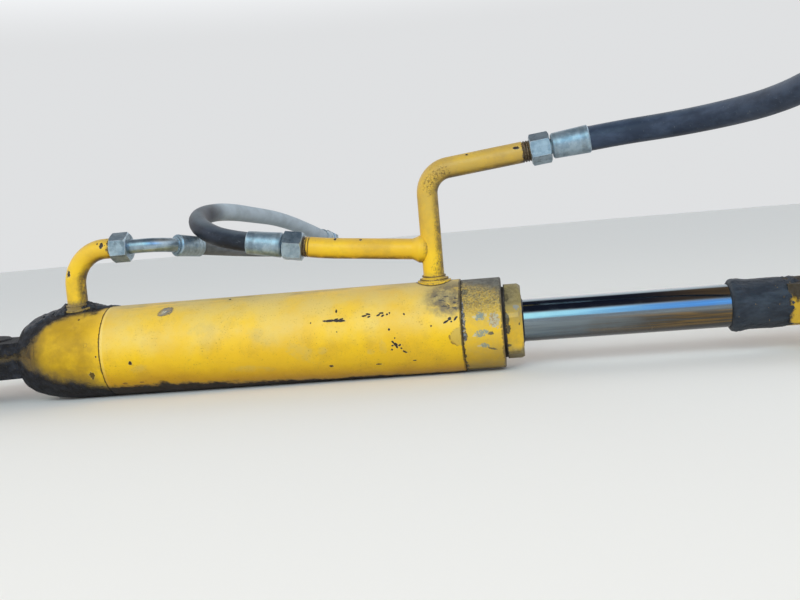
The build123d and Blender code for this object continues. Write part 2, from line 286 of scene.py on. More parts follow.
def build_enamel():
    """Yellow machine enamel with its blotches, film, specks and dust."""
    tree, given, result = new_group("yellow_enamel", {"Vector": None, "Dust": 0.5, "Grime": 0.3}, COVER)
    vector = given["Vector"]
    blotch = ramp(cloud(vector, 0.06, 3.0), 0.35, 0.65)
    colour = blend(blotch, (240, 192, 32), (232, 182, 40))
    film = times(ramp(cloud(vector, 0.035, 6.0, 0.68), 0.47, 0.70), given["Grime"], clamp=True)
    colour = lay(colour, (176, 136, 54), film)
    freckle = ramp(cloud(vector, 0.0045, 4.0, 0.7), 0.66, 0.74)
    colour = lay(colour, (84, 66, 42), times(freckle, times(given["Grime"], 1.3), clamp=True))
    dust = use(DUST, Vector=vector, Amount=given["Dust"], Patch=0.045)
    colour = lay(colour, (176, 148, 96), dust)
    rough = times_plus(film, 0.25, times_plus(dust, 0.35, 0.36))
    give(result, Colour=colour, Roughness=rough, Height=use(ENAMEL_SKIN, Vector=vector))
    return tree


def build_zinc():
    """Dull zinc plate: blotches, fine scratches, white bloom and dirt."""
    tree, given, result = new_group("dull_zinc", {"Vector": None, "Dirt": 0.4}, COVER)
    vector = given["Vector"]
    blotch = cloud(vector, 0.012, 5.0, 0.6)
    colour = blend(ramp(blotch, 0.35, 0.65), (134, 154, 168), (172, 190, 200))
    bloom = times(ramp(cloud(vector, 0.003, 4.0, 0.7), 0.56, 0.68), 0.5)
    colour = lay(colour, (184, 194, 198), bloom)
    dirt = times(ramp(cloud(vector, 0.009, 6.0, 0.7), 0.50, 0.66), given["Dirt"], clamp=True)
    colour = lay(colour, (74, 74, 74), dirt)
    colour = lay(colour, (128, 132, 132), use(DUST, Vector=vector, Amount=0.35, Patch=0.012))
    rough = times_plus(dirt, 0.3, times_plus(bloom, 0.25, 0.34))
    scratch = cloud(stretched(vector, (900, 900, 160)), 1.0, 2.0)
    give(result, Colour=colour, Roughness=rough, Height=times_plus(scratch, 0.25, blotch))
    return tree


ENAMEL = build_enamel()
ZINC = build_zinc()


# Finishes


def new_material(name, roughness=0.5, metallic=0.0, specular=0.5):
    material = bpy.data.materials.new(name)
    material.use_nodes = True
    inputs = material.node_tree.nodes["Principled BSDF"].inputs
    inputs["Roughness"].default_value = roughness
    inputs["Metallic"].default_value = metallic
    inputs["Specular IOR Level"].default_value = specular
    return material, put(material.node_tree, "TexCoord").outputs["Object"]


def new_enamel(name, specular, dust, grime):
    """A material with the yellow enamel's colour, roughness and height to start from."""
    material, place = new_material(name, specular=specular)
    return (material, place, *outcomes(ENAMEL, Vector=place, Dust=dust, Grime=grime))


def wire(material, colour, roughness=None, height=None, distance=0.00035, metallic=None):
    """Leads a finish into its material's shader."""
    bump = None
    if height is not None:
        bump = fed("Bump", {"Strength": 1.0, "Distance": distance, "Height": height})[0]
    give(material.node_tree.nodes["Principled BSDF"].inputs, **{
        "Base Color": colour, "Roughness": roughness, "Metallic": metallic, "Normal": bump})
    return material


def line_round(along, points):
    """Metres round the barrel of a line that is drawn through (place, degrees from the crown) points."""
    start, end = points[0][0], points[-1][0]
    node = put(along.id_data, "ValToRGB", {0: fed("MapRange", {0: along, 1: start, 2: end})[0]})
    stops = node.color_ramp.elements
    for index, (at, degrees) in enumerate(points):
        where, height = (at - start) / (end - start), degrees / 180
        stop = stops[index] if index < 1 else stops[-1] if index == len(points) - 1 else stops.new(where)
        stop.position = where
        stop.color = (height, height, height, 1.0)
    return times(node.outputs[0], math.pi * BARREL_RADIUS)


def marks(flat, ragged, spots):
    """All the listed marks in one field. Each has its place along the barrel in mm, its degrees from the
    crown, its length, its width and its lean."""
    field = 0.0
    for along, degrees, length, width, lean in spots:
        centre = (along / 1000, math.radians(degrees) * BARREL_RADIUS, 0)
        field = use(SPOT, Before=field, Place=flat, Centre=centre, Turn=math.radians(lean),
                    Half=(length / 2000, width / 2000, 1), Ragged=ragged)
    return field


def front_marks(front, ragged, spots):
    """The same for marks that are listed as (x, z, length, height) in mm, seen from the front."""
    field = 0.0
    for x, z, length, height in spots:
        field = use(SPOT, Before=field, Place=front, Centre=(x / 1000, z / 1000, 0),
                    Half=(length / 2000, height / 2000, 1), Ragged=ragged)
    return field


def inside(field):
    """1 within the outline of the marks."""
    return ramp(field, 0.44, 0.56)


def chip_colours(field, colour, bare):
    """Chips with a pale painted highlight round their broken rim."""
    # Painted highlight round each chip's broken rim
    colour = lay(colour, (246, 226, 160), ramp(field, 0.22, 0.40), 0.35)
    return lay(colour, bare, inside(field))


BARREL_CHIPS = [
    (446.7, 54.9, 2.2, 3.7, 0), (440, 66.8, 15, 2.6, -2), (449, 67.6, 15, 2.6, -4), (446.5, 65.4, 4.6, 1.8, 12),
    (452, 65.6, 4.4, 1.7, 18), (476.4, 63.9, 6.2, 1.9, 6), (480.6, 62.0, 5.0, 2.2, -8), (481.4, 65.4, 3.6, 1.8, 22),
    (491.6, 64.2, 4.8, 2.1, 26), (494.8, 61.8, 5.4, 2.0, -6), (496.0, 65.2, 3.6, 1.8, 32),
    (500.8, 64.1, 2.1, 2.2, 0), (503.3, 62.5, 2.1, 2.3, 0), (518.7, 65.2, 1.9, 2.6, 20), (502.1, 82.6, 2.6, 2.6, 0),
    (507.4, 93.4, 1.6, 1.6, 0), (504.9, 98.2, 3.8, 1.8, -50), (504.2, 102.6, 3.2, 2.0, 8),
    (507.6, 101.4, 4.4, 3.2, -18), (508.6, 104.6, 3.4, 2.2, -70), (511.8, 102.6, 3.6, 2.3, 30),
    (503.2, 107.8, 2.2, 1.8, 20), (513.0, 106.8, 2.2, 1.7, -40), (516.4, 111.7, 5.2, 1.9, -35),
    (525.5, 125.6, 4.2, 1.7, 0), (546.2, 82.2, 2.1, 2.1, 0), (486.9, 127.9, 6.3, 1.8, 0),
    (436.1, 125.4, 4.2, 2.9, 0), (562.2, 78.4, 6.4, 2.2, 28), (565.8, 75.0, 3.4, 3.6, 20),
    (567.4, 78.6, 2.2, 1.8, 0), (572.0, 75.4, 5.6, 2.2, 46), (218.3, 101.1, 3.9, 4.5, 0),
    (206.2, 130.7, 5.5, 2.0, 0), (225.0, 130.8, 5.5, 2.0, 0), (216.4, 136.6, 4.4, 2.3, 0),
    (419.2, 67.7, 1.5, 1.5, 0), (446.7, 81.1, 1.3, 1.3, 0), (325.0, 14.5, 3.0, 4.0, 0)]
BARREL_STAINS = [
    (226.9, 109.6, 18, 9, 10), (429.1, 103, 11, 8, 20), (480.7, 108.8, 8, 6, 0), (494, 103.4, 8, 14, 0),
    (366, 80, 34, 14, -28), (408, 104, 40, 16, -30), (352, 122, 46, 9, -6), (300, 64, 30, 12, 15)]


def barrel_finish():
    """Enamel of the tube: dirt, a painted sheen on its upper side, stains, a bare ding, chips, its seam with a
    painted highlight beside it, its groove, and painted shade along the underside in the grease colour.
    """
    material, place, colour, rough, skin = new_enamel("barrel_enamel", 0.26, 0.62, 0.30)
    flat = use(UNROLLED, Vector=place)
    along, around, _ = parts_of(flat)
    ragged = cloud(place, 0.0028, 6.0, 0.78)
    wander = sway(cloud(place, 0.02, 5.0, 0.65), 0.026)
    strayed = plus(around, wander)
    # Grey dirt behind the head riser and along the crown
    from_crown = plus(absolute(around), wander)
    streaks = cloud(stretched(flat, (16, 90, 1)), 1.0, 5.0, 0.65)
    head_dirt = times(times(ramp(along, 0.528, 0.560), ramp(from_crown, 0.062, 0.048)), ramp(streaks, 0.30, 0.56))
    crown_dirt = times(ramp(from_crown, 0.026, 0.008), ramp(streaks, 0.42, 0.60))
    dirt = most(times(head_dirt, 0.8), times(crown_dirt, 0.6))
    colour = lay(colour, (112, 104, 88), dirt)
    # Painted sheen: a pale tan haze over the upper side, fading lower down
    film = times(ramp(from_crown, 0.090, 0.060), ramp(cloud(place, 0.045, 5.0, 0.6), 0.34, 0.62, 0.12, 0.42))
    colour = lay(colour, (216, 198, 134), film)
    # Tan and grey stains
    stain = ramp(marks(flat, ragged, BARREL_STAINS), 0.15, 0.85)
    stain = times(stain, ramp(cloud(place, 0.016, 6.0, 0.65), 0.30, 0.66))
    colour = lay(colour, (188, 170, 112), stain, 0.30)
    calm = times_plus(cloud(place, 0.005, 5.0, 0.6), 0.24, 0.38)
    patch = ramp(marks(flat, calm, [(566, 46, 44, 42, 0)]), 0.05, 0.85)
    haze = times(patch, ramp(cloud(place, 0.008, 6.0, 0.7), 0.28, 0.60))
    colour = lay(colour, (108, 98, 84), haze, 0.85)
    smear = marks(flat, calm, [(567, 53, 22, 19, -25), (556, 46, 12, 10, 0)])
    scribble = ramp(cloud(stretched(place, (150, 260, 260)), 1.0, 4.0, 0.65), 0.50, 0.58)
    smear = times(ramp(smear, 0.20, 0.70), scribble)
    colour = lay(colour, (60, 60, 68), smear, 0.85)
    moon = marks(flat, calm, [(577.5, 97, 26, 20, 8)])
    colour = lay(colour, (168, 148, 92), ramp(moon, 0.40, 0.66), 0.5)
    edge = times(band(moon, 0.5, 0.05, 0.06), ramp(along, 0.576, 0.570))
    edge = times(edge, ramp(cloud(place, 0.004, 4.0, 0.7), 0.40, 0.56))
    colour = lay(colour, (110, 80, 52), edge, 0.8)
    pepper = times(ramp(cloud(place, 0.0016, 2.0, 0.5), 0.62, 0.70),
                   ramp(cloud(place, 0.035, 4.0, 0.6), 0.40, 0.62, 0.15, 0.65))
    colour = lay(colour, (172, 128, 44), pepper)
    # Ding through to bright metal
    ding = marks(flat, ragged, [(256.5, 33.0, 15, 12, 32), (251.0, 38.0, 6, 6, 40)])
    scored = turned(flat, math.radians(35))
    scored = ramp(cloud(stretched(scored, (120, 620, 1)), 1.0, 3.0, 0.6), 0.42, 0.56)
    colour = lay(colour, (170, 140, 78), ramp(ding, 0.22, 0.45), 0.55)
    bare = times(ramp(ding, 0.30, 0.50), times_plus(scored, 0.5, 0.5))
    colour = lay(colour, (106, 112, 122), bare, 0.85)
    bright = times(ramp(marks(flat, ragged, [(253.5, 35.5, 8, 3.6, 32)]), 0.45, 0.7), scored)
    colour = lay(colour, (206, 208, 204), bright)
    # Chips, the groove by the collar, the seam by the cap with a painted highlight beside it, and painted shade
    # along the underside
    chip = marks(flat, ragged, BARREL_CHIPS)
    colour = chip_colours(chip, colour, BARE_STEEL)
    jagged_along = plus(along, sway(ragged, 0.0030))
    seam = band(jagged_along, SEAM_X, 0.0003, 0.0005)
    # Painted highlight: a pale line beside the seam
    colour = lay(colour, (250, 226, 150), band(along, SEAM_X + 0.0022, 0.0008, 0.0010), 0.2)
    groove = times(band(jagged_along, HEAD_X + 0.0003, 0.0012, 0.0008),
                   ramp(cloud(place, 0.014, 4.0, 0.7), 0.36, 0.54, 0.45, 1.0))
    lines = most(seam, groove)
    colour = lay(colour, (70, 60, 46), lines, 0.85)
    # Painted shade along the underside: a darker orange growing downwards, then the grease colour on the underside
    # itself
    hem = line_round(along, [
        (0.085, 96), (0.119, 108), (0.151, 122), (0.185, 133), (0.29, 138), (0.34, 144), (0.45, 154), (0.58, 162)])
    below = minus(absolute(strayed), hem)
    under = ramp(below, -0.002, 0.005)
    colour = lay(colour, (196, 136, 20), ramp(below, -0.030, 0.0), 0.6)
    colour = lay(colour, use(GREASE, Vector=place), under, 0.96)
    # Dark line round the head riser's foot
    foot = length_of(pair(minus(along, HEAD_RISER_X), parts_of(place)[1]))
    foot = plus(foot, sway(ragged, 0.004))
    ring = times(band(foot, LINE_RADIUS + 0.0076, 0.0007, 0.0010), ramp(parts_of(place)[2], 0.0, 0.02))
    colour = lay(colour, (62, 52, 40), ring, 0.8)
    rough = most(rough, times(most(under, dirt), 0.7))
    height = times_plus(inside(chip), -1.0, skin)
    height = times_plus(ramp(ding, 0.3, 0.7), -2.0, height)
    height = times_plus(lines, -1.5, height)
    return wire(material, colour, rough, height)


def cap_finish():
    """Enamel of the closed end, half buried in grease from the pin above it, with painted shade towards the pin and
    along the underside.
    """
    material, place, colour, rough, skin = new_enamel("cap_enamel", 0.2, 0.6, 0.75)
    flat = use(UNROLLED, Vector=place)
    along, around, _ = parts_of(flat)
    ragged = cloud(place, 0.0022, 3.0, 0.6)
    wander = sway(cloud(place, 0.016, 6.0, 0.7), 0.030)
    strayed = plus(around, wander)
    chip = marks(flat, ragged, [
        (172.8, 114.2, 6.1, 8.9, 0), (181.2, 90.0, 2.2, 2.2, 0), (157.8, 36.7, 2.4, 3.3, 0), (103, 86, 3, 3, 0)])
    colour = chip_colours(chip, colour, BARE_STEEL)
    ring = marks(flat, ragged, [(169.7, 74.9, 4.4, 4.3, 0)])
    colour = lay(colour, (120, 100, 60), band(ring, 0.5, 0.12, 0.08), 0.6)
    # Painted shade: a darker olive tone towards the pin
    olive_shade = ramp(cloud(place, 0.030, 6.0, 0.65), 0.30, 0.60, 0.35, 0.70)
    colour = lay(colour, (158, 122, 20), times(olive_shade, ramp(along, 0.190, 0.160)))
    # Rust-brown dirt towards the pin
    rust_cloud = cloud(place, 0.006, 6.0, 0.72)
    toward_pin = ramp(plus(along, times(wander, 0.7)), 0.130, 0.100)
    rust = blend(ramp(rust_cloud, 0.4, 0.62), (46, 40, 36), (96, 72, 40))
    colour = lay(colour, rust, toward_pin, 0.94)
    wavy = plus(along, sway(cloud(place, 0.007, 4.0, 0.7), 0.005))
    cracks = most(band(wavy, 0.1090, 0.0003, 0.0004), band(wavy, 0.1045, 0.0003, 0.0005))
    cracks = times(cracks, ramp(rust_cloud, 0.42, 0.56))
    colour = lay(colour, (62, 48, 30), cracks, 0.7)
    # Seam, then painted shade along the underside in the grease colour, and real grease near the crest above
    seam = band(plus(along, sway(ragged, 0.0030)), SEAM_X, 0.0005, 0.0005)
    colour = lay(colour, (70, 58, 42), seam, 0.85)
    hem = line_round(along, [(0.085, 84), (0.105, 101), (0.119, 111), (0.151, 125), (0.185, 135)])
    below = minus(absolute(strayed), hem)
    crest = line_round(along, [
        (0.085, 80), (0.099, 71), (0.111, 56), (0.122, 40), (0.140, 26), (0.171, 20), (0.187, 9)])
    swing = times(sway(rust_cloud, 0.04), toward_pin)
    over = plus(minus(crest, absolute(strayed)), swing)
    haze = most(ramp(below, -0.018, 0.003), ramp(over, -0.013, 0.002))
    colour = lay(colour, (104, 86, 52), haze, 0.78)
    buried = most(ramp(below, -0.006, 0.007), ramp(over, -0.008, 0.005))
    grease = outcomes(GREASE, Vector=place)
    colour = lay(colour, grease[0], buried, 0.96)
    rough = most(rough, times(buried, 0.72))
    height = times_plus(inside(chip), -1.0, skin)
    height = times_plus(seam, -1.5, height)
    height = times_plus(times(grease[1], buried), 3.0, height)
    return wire(material, colour, rough, height)


def collar_finish():
    """Enamel of the head collar: dirty above, speckled at the shoulder, clean below but for painted shade towards
    the underside.
    """
    material, place, colour, rough, skin = new_enamel("collar_enamel", 0.3, 0.45, 0.30)
    flat = use(UNROLLED, Vector=place)
    along, around, _ = parts_of(flat)
    ragged = cloud(place, 0.0022, 3.0, 0.6)
    wander = sway(cloud(place, 0.016, 5.0, 0.65), 0.022)
    strayed = plus(absolute(around), wander)
    # Marks worn to primer and bare metal
    pale = marks(flat, ragged, [
        (597.5, 74.5, 9, 8, 6), (597.5, 95.5, 13, 7, 14), (600, 111.6, 8, 5, -12), (594, 78, 4, 3, 20)])
    white = marks(flat, ragged, [
        (591.5, 75.0, 5, 3, 10), (590.5, 97.5, 5, 3, 20), (594.5, 112.0, 5, 2.5, 0), (603.5, 73.5, 3, 4, 0)])
    dark = marks(flat, ragged, [
        (607.5, 96.5, 6, 3.5, 0), (608, 117.0, 10, 2.2, -20), (582.0, 38.7, 8, 9, 0), (580.5, 98, 5, 10, 0),
        (579.5, 146.8, 4, 8, 0), (580, 72, 3.5, 9, 0)])
    worn = marks(flat, ragged, [(611.5, 80.6, 11, 15, 0)])
    primer = blend(ramp(ragged, 0.45, 0.62), (184, 176, 150), (166, 116, 52))
    colour = lay(colour, primer, ramp(worn, 0.35, 0.6))
    colour = lay(colour, (66, 64, 62), ramp(dark, 0.42, 0.58))
    fret = ramp(cloud(place, 0.0032, 4.0, 0.7), 0.40, 0.50)
    colour = lay(colour, (188, 172, 118), ramp(pale, 0.22, 0.42), 0.45)
    colour = lay(colour, (128, 144, 138), times(ramp(pale, 0.40, 0.54), fret))
    colour = lay(colour, (206, 204, 180), ramp(white, 0.42, 0.60), 0.55)
    # Speckled film on the shoulder, solid dirt on the crown
    coarse = cloud(place, 0.007, 6.0, 0.72)
    speckle = ramp(cloud(place, 0.0017, 4.0, 0.7), 0.40, 0.56, 0.62, 1.0)
    shoulder = times(ramp(strayed, 0.080, 0.044), times(speckle, ramp(coarse, 0.26, 0.56, 0.55, 1.0)))
    film = blend(ramp(ragged, 0.42, 0.60), (146, 134, 98), (92, 86, 72))
    colour = lay(colour, film, shoulder, 0.95)
    crown = ramp(minus(strayed, times_plus(along, 0.5, -0.3)), 0.037, 0.017)
    grey = blend(ramp(coarse, 0.38, 0.6), (74, 74, 74), (108, 106, 98))
    colour = lay(colour, grey, crown, 0.94)
    # Painted shade on the underside: the grease colour laid there
    under = times(ramp(absolute(strayed), 0.132, 0.146), 0.9)
    colour = lay(colour, use(GREASE, Vector=place), under)
    veil = times(ramp(strayed, 0.050, 0.080), ramp(cloud(place, 0.018, 5.0, 0.65), 0.34, 0.64, 0.08, 0.40))
    colour = lay(colour, (180, 158, 100), veil)
    # Painted shade: a darker orange that grows towards the underside
    colour = lay(colour, (120, 94, 24), ramp(strayed, 0.080, 0.140, 0.0, 0.40))
    # Jagged dark joint with the barrel and blue-grey broken paint beside it
    jag = plus(along, sway(cloud(place, 0.004, 3.0), 0.006))
    jag = plus(jag, sway(ragged, 0.006))
    broken = times(band(jag, HEAD_X + 0.0014, 0.0020, 0.0006), band(around, 0.070, 0.020, 0.006))
    flakes = blend(ramp(ragged, 0.44, 0.60), (58, 60, 72), (126, 136, 146))
    colour = lay(colour, flakes, times(broken, fret), 0.9)
    joint = band(jag, HEAD_X + 0.0003, 0.0012, 0.0007)
    lip = band(jag, COLLAR_X, 0.0010, 0.0010)
    colour = lay(colour, (58, 50, 42), most(times(joint, 0.9), times(lip, 0.6)))
    colour = lay(colour, (120, 112, 100), use(EDGES_WORN_AND_HIGHLIGHTED, Vector=place, Width=0.0012, Amount=0.6))
    dirt = most(most(crown, shoulder), under)
    rough = most(rough, times(dirt, 0.68))
    height = times_plus(most(joint, ramp(dark, 0.4, 0.6)), -1.4, skin)
    height = times_plus(times(dirt, coarse), 2.5, height)
    return wire(material, colour, rough, height)


def gland_finish():
    """Enamel of the gland nut, with dirt above and below and packed into its neck."""
    material, place, colour, rough, skin = new_enamel("gland_enamel", 0.4, 0.5, 0.55)
    flat = use(UNROLLED, Vector=place)
    along, around, _ = parts_of(flat)
    ragged = cloud(place, 0.0022, 3.0, 0.6)
    wander = sway(cloud(place, 0.012, 5.0, 0.65), 0.014)
    strayed = plus(absolute(around), wander)
    coarse = cloud(place, 0.005, 6.0, 0.72)
    film = blend(ramp(coarse, 0.38, 0.62), (78, 72, 58), (124, 114, 88))
    dirt = most(times(ramp(strayed, 0.056, 0.046), 0.9), times(ramp(absolute(strayed), 0.108, 0.118), 0.85))
    hazy = times(ramp(strayed, 0.084, 0.058), ramp(coarse, 0.30, 0.60, 0.45, 0.95))
    colour = lay(colour, (132, 122, 90), hazy, 0.8)
    colour = lay(colour, film, dirt)
    spots = marks(flat, ragged, [(634.6, 62, 6, 8, 0)])
    colour = lay(colour, (128, 138, 146), ramp(spots, 0.4, 0.55))
    dots = marks(flat, ragged, [
        (625.2, 122.9, 4, 4, 0), (624.6, 80, 5, 15, 0), (625.0, 96, 5, 13, 0), (637, 88, 1.6, 4, 0),
        (624.6, 42, 6, 15, 0)])
    colour = lay(colour, (54, 48, 44), ramp(dots, 0.42, 0.58))
    colour = lay(colour, (168, 148, 86), ramp(cloud(place, 0.016, 5.0, 0.65), 0.34, 0.64, 0.10, 0.40))
    # Dirt packed into the neck behind the flange
    neck = band(plus(along, sway(ragged, 0.003)), COLLAR_X + 0.0010, 0.0022, 0.0010)
    colour = lay(colour, (52, 46, 40), neck)
    colour = lay(colour, (112, 104, 92), use(EDGES_WORN_AND_HIGHLIGHTED, Vector=place, Width=0.0010, Amount=0.75))
    rough = most(rough, times(most(dirt, neck), 0.7))
    height = times_plus(times(dirt, coarse), 2.0, skin)
    return wire(material, colour, rough, height)


def line_finish(name, chips, dirty, threaded, top_shade, speckled, shade, foot_dirt):
    """Enamel of a hard line. Its chips, dirty places and threads are listed as front_marks reads them."""
    material, place, colour, rough, skin = new_enamel(name, 0.4, 0.50, 0.42)
    along, _, height_at = parts_of(place)
    front = pair(along, height_at)
    ragged = cloud(place, 0.0018, 3.0, 0.6)
    field = front_marks(front, ragged, chips)
    # Painted shade: a darker tan that grows upwards
    veil = times(ramp(height_at, 0.078, 0.150), ramp(cloud(place, 0.022, 5.0, 0.65), 0.30, 0.62, 0.55, 1.0))
    colour = lay(colour, (160, 134, 84), veil, top_shade)
    # Specks of dirt clinging round the bends and feet
    cover = front_marks(front, ragged, dirty)
    specks = ramp(cloud(place, 0.0022, 5.0, 0.8), 0.50, 0.60)
    facing = parts_of(normal_of(material.node_tree))
    rightward = times(ramp(facing[0], 0.25, 0.75), ramp(height_at, 0.150, 0.120))
    specks = times(specks, most(ramp(cover, 0.2, 0.8), rightward))
    colour = lay(colour, (86, 70, 46), specks, speckled)
    colour = chip_colours(field, colour, (56, 44, 36))
    # Painted shade: brown darkening on the right-hand and lower sides, away from the light
    shaded = most(ramp(facing[0], 0.35, 0.92), ramp(facing[2], -0.5, -0.98))
    shaded = times(shaded, ramp(cloud(place, 0.012, 5.0, 0.7), 0.34, 0.56, 0.3, 1.0))
    colour = lay(colour, shade, shaded, 0.85)
    foot = plus(height_at, sway(ragged, 0.006))
    foot = times(ramp(foot, 0.0625, 0.0545), foot_dirt)
    colour = lay(colour, (98, 84, 62), foot)
    threads = front_marks(front, cloud(place, 0.0034, 4.0, 0.75), threaded)
    bare = blend(ramp(ragged, 0.46, 0.60), (36, 32, 31), (104, 86, 72))
    colour = lay(colour, bare, ramp(threads, 0.42, 0.56), 0.92)
    height = times_plus(inside(field), -1.0, skin)
    height = times_plus(specks, 0.7, height)
    return wire(material, colour, rough, height, 0.0003)


def weld_finish(name, centre, rings, dull, crest_highlight):
    """Painted weld round a riser's foot: dirt in the ripples, painted shade in the grooves between the runs, and a
    painted highlight on the crests.
    """
    material, place, colour, rough, skin = new_enamel(name, 0.4, 0.7, 0.6)
    colour = lay(colour, (112, 96, 66), dull)
    colour = lay(colour, (92, 76, 50), ramp(cloud(place, 0.004, 5.0, 0.7), 0.46, 0.60), 0.6)
    along, across, _ = parts_of(place)
    away = length_of(pair(minus(along, centre), across))
    # Painted shade in the grooves between the runs
    for ring in rings:
        groove = band(away, LINE_RADIUS + ring, 0.0002, 0.0006)
        colour = lay(colour, (62, 50, 34), groove, 0.85)
    # Painted highlight along the crests
    colour = lay(colour, (238, 214, 130), use(EDGES_WORN_AND_HIGHLIGHTED, Vector=place, Width=0.0008, Amount=0.5), crest_highlight)
    return wire(material, colour, rough, skin, 0.0003)


def grease_finish():
    """Dusty grease on the cap."""
    material, place = new_material("grease", 0.62)
    colour, height = outcomes(GREASE, Vector=place)
    dust = use(DUST, Vector=place, Amount=0.4, Patch=0.02)
    colour = lay(colour, (66, 67, 72), dust)
    rough = times_plus(dust, 0.25, ramp(height, 1.0, 1.9, 0.42, 0.68))
    return wire(material, colour, rough, height, 0.0009)


def boss_grease_finish():
    """Slate-grey film drawn over the rod's boss."""
    material, place = new_material("boss_grease", 0.6)
    streak = cloud(stretched(place, (40, 110, 110)), 1.0, 6.0, 0.65)
    colour = blend(ramp(streak, 0.36, 0.64), (22, 28, 38), (46, 53, 62))
    colour = lay(colour, (66, 72, 79), use(DUST, Vector=place, Amount=0.4, Patch=0.018))
    colour = lay(colour, (196, 152, 52), ramp(cloud(place, 0.0035, 2.0), 0.74, 0.78), 0.8)
    height = times_plus(cloud(place, 0.006, 5.0, 0.6), 1.6, streak)
    return wire(material, colour, None, height, 0.0007)


def rod_eye_finish():
    """Enamel of the rod eye under its grease."""
    material, place, colour, rough, skin = new_enamel("rod_eye_enamel", 0.4, 0.5, 0.8)
    along = parts_of(place)[0]
    shift = sway(cloud(place, 0.012, 5.0, 0.65), 0.03)
    buried = ramp(plus(along, shift), 0.916, 0.910)
    grease = outcomes(GREASE, Vector=place)
    facing = parts_of(normal_of(material.node_tree))[2]
    on_top = times(ramp(facing, 0.35, 0.70), ramp(cloud(place, 0.02, 5.0, 0.65), 0.30, 0.46))
    high = ramp(plus(parts_of(place)[2], shift), 0.003, 0.010)
    buried = most(buried, most(on_top, high))
    # Painted shade: the enamel darker towards the eye's far end
    colour = lay(colour, (120, 96, 34), ramp(along, 0.990, 0.930), 0.45)
    colour = lay(colour, grease[0], buried, 0.94)
    colour = lay(colour, (112, 100, 84), use(EDGES_WORN_AND_HIGHLIGHTED, Vector=place, Width=0.0015, Amount=0.5))
    rough = most(rough, times(buried, 0.7))
    height = times_plus(times(grease[1], buried), 1.5, skin)
    return wire(material, colour, rough, height, 0.0004)


def chrome_finish():
    """Hard chrome with wiping streaks, a brownish painted reflection on its lower half towards the boss, and
    painted shade on its underside.
    """
    material, place = new_material("hard_chrome", 0.08, 1.0)
    along, across, height_at = parts_of(place)
    angle = figure("ARCTAN2", absolute(across), height_at)
    streak = cloud(stretched(place, (9, 260, 260)), 1.0, 3.0, 0.6)
    smudge = cloud(place, 0.03, 5.0, 0.6)
    colour = blend(ramp(streak, 0.40, 0.62), (134, 146, 153), (118, 130, 139))
    # Painted reflection: a brownish tone on the lower half towards the boss, standing in for nearby yellow parts
    # mirrored in the chrome
    toward_boss = ramp(plus(along, sway(smudge, 0.08)), 0.66, 0.80)
    film = times(toward_boss, ramp(angle, 1.42, 1.75))
    film = times(film, ramp(streak, 0.30, 0.60, 0.60, 0.95))
    brown = blend(ramp(streak, 0.46, 0.58), (84, 66, 40), (140, 112, 68))
    colour = lay(colour, brown, film)
    # Painted shade on the rod's underside: a dark tone that also dulls the metal there
    below = times(ramp(angle, 2.10, 2.55), 0.85)
    colour = lay(colour, (44, 40, 38), below)
    rough = times_plus(ramp(smudge, 0.42, 0.70), 0.10, ramp(streak, 0.35, 0.70, 0.06, 0.13))
    rough = plus(rough, times(film, 0.12))
    return wire(material, colour, rough, streak, 0.000012, times_plus(below, -0.9, 1.0))


def zinc_finish(name, dirt):
    """Zinc plate with pale edges: worn plating and a painted highlight along them."""
    material, place = new_material(name, 0.4, 0.85)
    colour, rough, height = outcomes(ZINC, Vector=place, Dirt=dirt)
    # Pale edges: worn plating with a painted highlight along them
    colour = lay(colour, (214, 220, 224), use(EDGES_WORN_AND_HIGHLIGHTED, Vector=place, Width=0.0011, Amount=0.9))
    return wire(material, colour, rough, height, 0.00012)


def ferrule_finish(name, axis, spacing, start, depth):
    """Zinc sleeve with the marks of the crimping jaws across it."""
    material, place = new_material(name, 0.3, 0.7)
    colour, rough, height = outcomes(ZINC, Vector=place, Dirt=0.25)
    rough = plus(rough, 0.08)
    turn = times_plus(dot(place, axis), 1 / spacing, -start / spacing)
    crimp = ramp(figure("PINGPONG", turn, 0.5), 0.02, 0.14)
    colour = lay(colour, (84, 92, 98), ramp(crimp, 1.0, 0.2), 0.6 * depth)
    height = times_plus(crimp, 2.2 * depth, height)
    return wire(material, colour, rough, height, 0.00022)


def rubber_finish(name, dark, pale, dusty, far_painted_light=0.0):
    """Hose cover: smooth rubber with dust, streaks from rubbing and fine scuffs; where asked, its far run is
    painted pale as if lit.
    """
    material, place = new_material(name, 0.55, specular=0.3)
    streak = cloud(stretched(place, (30, 30, 60)), 1.0, 6.0, 0.65)
    colour = blend(ramp(streak, 0.34, 0.66), dark, pale)
    colour = lay(colour, (132, 138, 142), ramp(cloud(place, 0.004, 6.0, 0.75), 0.60, 0.70), 0.35)
    dust = use(DUST, Vector=place, Amount=dusty, Patch=0.03)
    # Painted light: the far run of the hose turned pale as if lit, laid in with the dust
    if far_painted_light:
        across = parts_of(place)[1]
        away = times(ramp(across, 0.085, 0.160), far_painted_light)
        patchy = times_plus(streak, 0.8, 0.55)
        dust = most(dust, times(away, patchy, clamp=True))
    colour = lay(colour, (176, 188, 194), dust)
    rough = times_plus(dust, 0.3, 0.48)
    height = times_plus(cloud(place, 0.0014, 3.0), 0.4, streak)
    return wire(material, colour, rough, height, 0.00018)


